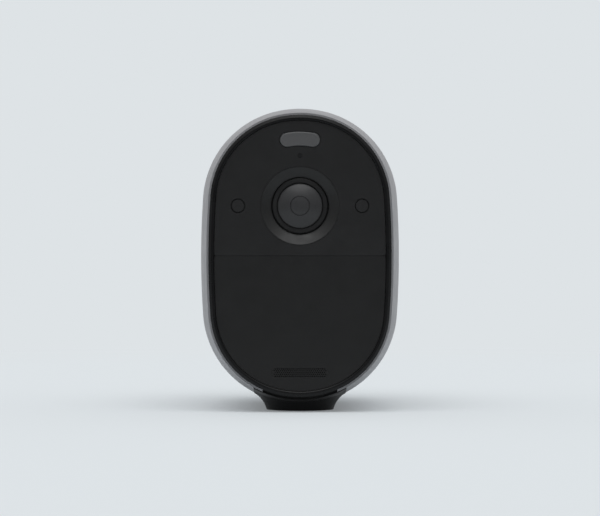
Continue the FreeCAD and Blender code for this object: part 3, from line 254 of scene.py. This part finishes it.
FINISHES = {
    "shell": dict(color=(0.312, 0.312, 0.326), roughness=0.52, grain=0.30, relief=0.006, mottle=0.05,
                  smudge=0.12),
    "bezel": dict(color=(0.005, 0.005, 0.0055), roughness=0.30, grain=0.22, relief=0.002, mottle=0.15,
                  smudge=0.25, gloss=0.20),
    "seal": dict(color=(0.020, 0.020, 0.020), roughness=0.85, grain=0.20, relief=0.010, mottle=0.25,
                 smudge=0.10),
    "window_panel": dict(color=(0.0167, 0.0167, 0.0171), roughness=0.22, grain=1.50, relief=0.001,
                         mottle=0.06, smudge=0.20, gloss=0.44),
    "lens_panel": dict(color=(0.0136, 0.0136, 0.0138), roughness=0.42, grain=0.20, relief=0.002,
                       mottle=0.08, smudge=0.15, gloss=0.26),
    "grille": dict(color=(0.0142, 0.0142, 0.0143), roughness=0.55, grain=0.20, relief=0.004, mottle=0.15,
                   smudge=0.15, gloss=0.25),
    "frame_plastic": dict(color=(0.030, 0.030, 0.032), roughness=0.55, grain=0.25, relief=0.008,
                          mottle=0.15, smudge=0.15),
    "cloth": dict(color=(0.010, 0.010, 0.010), roughness=0.95, grain=0.12, relief=0.030, mottle=0.30,
                  smudge=0.05),
    "cone": dict(color=(0.030, 0.028, 0.026), roughness=0.90, grain=0.30, relief=0.020, mottle=0.25,
                 smudge=0.05),
    "steel": dict(color=(0.56, 0.56, 0.58), roughness=0.34, metallic=1.0, grain=0.15, relief=0.004,
                  mottle=0.10, smudge=0.30),
    "cone_ring": dict(color=(0.0085, 0.0085, 0.0087), roughness=0.42, grain=0.20, relief=0.002,
                      mottle=0.10, smudge=0.20, gloss=0.44),
    "barrel": dict(color=(0.0125, 0.0125, 0.0128), roughness=0.42, metallic=0.2, grain=0.15, relief=0.003,
                   mottle=0.15, smudge=0.20, gloss=0.34),
    "smoked_glass": dict(color=(0.037, 0.037, 0.0385), roughness=0.30, grain=0.30, relief=0.0005,
                         mottle=0.06, smudge=0.10, gloss=0.36),
    "optical_glass": dict(color=(0.80, 0.82, 0.86), roughness=0.03, transmission=1.0, grain=2.0,
                          relief=0.0, mottle=0.02, smudge=0.30),
    "filter_glass": dict(color=(0.45, 0.75, 0.78), roughness=0.04, transmission=1.0, grain=2.0, relief=0.0,
                         mottle=0.02, smudge=0.30),
    "copper": dict(color=(0.60, 0.27, 0.13), roughness=0.32, metallic=1.0, grain=0.15, relief=0.030,
                   mottle=0.15, smudge=0.20),
    "diffuser": dict(color=(0.092, 0.092, 0.094), roughness=0.36, grain=0.40, relief=0.003, mottle=0.08,
                     smudge=0.20),
    "reflector": dict(color=(0.86, 0.86, 0.86), roughness=0.12, metallic=1.0, grain=0.60, relief=0.004,
                      mottle=0.03, smudge=0.40),
    "board": dict(color=(0.015, 0.110, 0.045), roughness=0.38, grain=0.50, relief=0.006, mottle=0.20,
                  smudge=0.20),
    "lamp": dict(color=(0.80, 0.66, 0.25), roughness=0.40, grain=0.20, relief=0.004, mottle=0.10,
                 smudge=0.20),
    "aluminium": dict(color=(0.62, 0.62, 0.64), roughness=0.38, metallic=1.0, grain=0.20, relief=0.006,
                      mottle=0.08, smudge=0.30),
    "small_window": dict(color=(0.0190, 0.0190, 0.0195), roughness=0.24, grain=0.80, relief=0.001,
                         mottle=0.06, smudge=0.20, gloss=0.40),
    "light_pipe": dict(color=(0.010, 0.010, 0.011), roughness=0.22, grain=0.50, relief=0.001, mottle=0.10,
                       smudge=0.20, gloss=0.40),
    "chip": dict(color=(0.020, 0.020, 0.022), roughness=0.60, grain=0.12, relief=0.006, mottle=0.15,
                 smudge=0.15),
    "can": dict(color=(0.66, 0.65, 0.62), roughness=0.30, metallic=1.0, grain=0.15, relief=0.003,
                mottle=0.08, smudge=0.30),
    "cell": dict(color=(0.060, 0.120, 0.230), roughness=0.35, grain=0.60, relief=0.004, mottle=0.10,
                 smudge=0.25),
    "brass": dict(color=(0.72, 0.50, 0.20), roughness=0.32, metallic=1.0, grain=0.15, relief=0.004,
                  mottle=0.12, smudge=0.35),
    "foot": dict(color=(0.005, 0.005, 0.0053), roughness=0.45, grain=0.28, relief=0.004, mottle=0.15,
                 smudge=0.20, gloss=0.20),
    "rubber": dict(color=(0.016, 0.016, 0.016), roughness=0.80, grain=0.25, relief=0.012, mottle=0.25,
                   smudge=0.10),
    "button": dict(color=(0.024, 0.024, 0.025), roughness=0.40, grain=0.20, relief=0.003, mottle=0.10,
                   smudge=0.20),
}


MOTTLE_SIZE = 14
SMUDGE_SIZE = 5
SMUDGE_FADE = (0.3, 0.7)


def finish(slot, color, roughness, grain, relief, mottle, smudge,
           metallic=0.0, transmission=0.0, gloss=0.5):
    """A material whose colour and roughness wander a little and whose surface has a fine texture."""
    material = bpy.data.materials.new(slot)
    material.use_nodes = True
    tree = material.node_tree
    make = Nodes(tree)
    shader = tree.nodes["Principled BSDF"]
    place = make.add("TexCoord").outputs["Object"]
    broad = make.noise(place, 1 / (MOTTLE_SIZE * MM), detail=4.0)
    dark, light = ([part * (1 + mottle * side) for part in color] for side in (-1, 1))
    make.feed(shader.inputs["Base Color"], make.blend(broad, dark, light))
    streaks = make.noise(place, 1 / (SMUDGE_SIZE * MM), detail=5.0, roughness=0.6)
    smooth, rough = roughness * (1 - smudge), roughness * (1 + smudge)
    make.feed(shader.inputs["Roughness"], make.ramp(streaks, *SMUDGE_FADE, smooth, rough))
    shader.inputs["Metallic"].default_value = metallic
    shader.inputs["Specular IOR Level"].default_value = gloss
    shader.inputs["Transmission Weight"].default_value = transmission
    if relief:
        texture = make.noise(place, 1 / (grain * MM), detail=2.0)
        bump = make.add("Bump", Height=texture, Distance=relief * MM, Strength=1.0)
        make.feed(shader.inputs["Normal"], bump.outputs["Normal"])
    return material


def dress_nodes():
    """Gives every CAD node the finish of its material slot."""
    for part in frame["record"]["subparts"]:
        for place in nodes[part["node"]].material_slots:
            place.material = finishes[part["material_slot"]]


# ---------------------------------------------------------------- pieces finer than the CAD


def add_mesh(name, points, faces, material, sharp_over=30.0):
    """A smooth-shaded mesh that keeps its edges above an angle sharp."""
    mesh = bpy.data.meshes.new(name)
    mesh.from_pydata(points, [], faces)
    mesh.materials.append(material)
    mesh.validate()
    mesh.polygons.foreach_set("use_smooth", [True] * len(mesh.polygons))
    mesh.set_sharp_from_angle(angle=math.radians(sharp_over))
    piece = bpy.data.objects.new(name, mesh)
    bpy.context.scene.collection.objects.link(piece)
    return piece


def turned(name, centre, face, profile, material, turns=128, capped=True):
    """A piece turned about a line along Y; the profile is of (depth behind the face, radius) pairs."""
    points, faces = [], []
    for depth, radius in profile:
        for turn in range(turns):
            angle = 2 * math.pi * turn / turns
            points.append((centre.x + radius * MM * math.cos(angle), face + depth * MM,
                           centre.z + radius * MM * math.sin(angle)))
    for row in range(len(profile) - 1):
        for turn in range(turns):
            first, second = row * turns + turn, row * turns + (turn + 1) % turns
            faces.append((first, first + turns, second + turns, second))
    last = (len(profile) - 1) * turns
    if capped:
        faces.append(tuple(range(turns)))
        faces.append(tuple(reversed(range(last, last + turns))))
    return add_mesh(name, points, faces, material)


# The front glass and the ring round it, in millimetres.
DOME_RADIUS = 5.66
DOME_SAG = 1.4
DOME_EDGE = 2.9
DOME_STEPS = 60
DOME_BACK_RADIUS = 0.1
GROOVE_RADIUS = 2.4
GROOVE_DEPTH = 0.16
GROOVE_HALF_WIDTH = 0.10
RING_INSIDE = 5.80
RING_OUTSIDE = 5.96
RING_BEVEL = 0.05


def front_glass():
    """The domed glass, with the fine groove round its middle that the CAD leaves out."""
    curve = (DOME_RADIUS ** 2 + DOME_SAG ** 2) / (2 * DOME_SAG)
    profile = []
    for step in range(1, DOME_STEPS + 1):
        radius = DOME_RADIUS * step / DOME_STEPS
        groove = GROOVE_DEPTH if abs(radius - GROOVE_RADIUS) < GROOVE_HALF_WIDTH else 0.0
        profile.append((curve - math.sqrt(curve ** 2 - radius ** 2) + groove, radius))
    profile.append((DOME_EDGE, DOME_RADIUS))
    profile.append((DOME_EDGE, DOME_BACK_RADIUS))
    glass = turned("front_glass", LENS, LENS_FACE, profile, finishes["smoked_glass"])
    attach(glass, "root")
    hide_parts("lens_front_glass")


def retaining_ring():
    """The ring that holds the glass, round where the CAD's is cornered."""
    low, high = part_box("lens_retaining_ring")
    depth = (high.y - low.y) / MM
    profile = ((RING_BEVEL, RING_INSIDE), (0.0, RING_INSIDE + RING_BEVEL), (0.0, RING_OUTSIDE),
               (depth, RING_OUTSIDE), (depth, RING_INSIDE), (RING_BEVEL, RING_INSIDE))
    ring = turned("retaining_ring", LENS, low.y, profile, finishes["barrel"], capped=False)
    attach(ring, "root")
    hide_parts("lens_retaining_ring")


# The brass insert, in millimetres: a quarter-inch thread of 20 turns to the inch.
THREAD_PITCH = 1.27
THREAD_CREST = 2.56
THREAD_ROOT = 3.10
THREAD_LENGTH = 8.0
THREAD_FLAT = 0.1
LEAD_IN_LENGTH = 0.6
LEAD_IN_WIDTH = 0.35
INSERT_RADIUS = 4.15
INSERT_BEVEL = 0.2
INSERT_END_RADIUS = 0.05
INSERT_SIDES = 144
INSERT_ROWS = 96
KNURLS = 36
KNURL_DEPTH = 0.12


def threaded_insert():
    """The brass insert with its quarter-inch thread and its knurled outside, open to the back."""
    turns, rows = INSERT_SIDES, INSERT_ROWS
    low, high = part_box("mount_insert")
    length = (high.y - low.y) / MM
    points, faces = [], []

    def ring(depth, radius_at):
        for turn in range(turns):
            angle = 2 * math.pi * turn / turns
            radius = radius_at(angle) * MM
            points.append((INSERT.x + radius * math.cos(angle), INSERT_FACE - depth * MM,
                           INSERT.z + radius * math.sin(angle)))

    def thread(depth):
        lead_in = max(0.0, 1.0 - depth / LEAD_IN_LENGTH) * LEAD_IN_WIDTH

        def radius_at(angle):
            phase = (depth / THREAD_PITCH - angle / (2 * math.pi)) % 1.0
            ramp = abs(2 * phase - 1)
            flank = min(1.0, max(0.0, (ramp - THREAD_FLAT) / (1 - 2 * THREAD_FLAT)))
            return max(THREAD_CREST + lead_in, THREAD_CREST + (THREAD_ROOT - THREAD_CREST) * flank)
        return radius_at

    def knurled(angle):
        return INSERT_RADIUS - KNURL_DEPTH * abs(math.sin(KNURLS * angle / 2))

    ring(THREAD_LENGTH, lambda angle: INSERT_END_RADIUS)
    for row in range(rows, -1, -1):
        depth = THREAD_LENGTH * row / rows
        ring(depth, thread(depth))
    ring(0.0, lambda angle: INSERT_RADIUS - INSERT_BEVEL)
    ring(INSERT_BEVEL, knurled)
    ring(length, knurled)
    ring(length, lambda angle: INSERT_END_RADIUS)
    for row in range(len(points) // turns - 1):
        for turn in range(turns):
            first, second = row * turns + turn, row * turns + (turn + 1) % turns
            faces.append((first, second, second + turns, first + turns))
    insert = add_mesh("threaded_insert", points, faces, finishes["brass"], sharp_over=40.0)
    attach(insert, "root")
    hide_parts("mount_insert")


# ---------------------------------------------------------------- the scene

make_camera()
make_light()
make_floor()
finishes = {slot: finish(slot, **settings) for slot, settings in FINISHES.items()}
dress_nodes()
front_glass()
retaining_ring()
threaded_insert()
bpy.context.scene.view_settings.view_transform = "Standard"
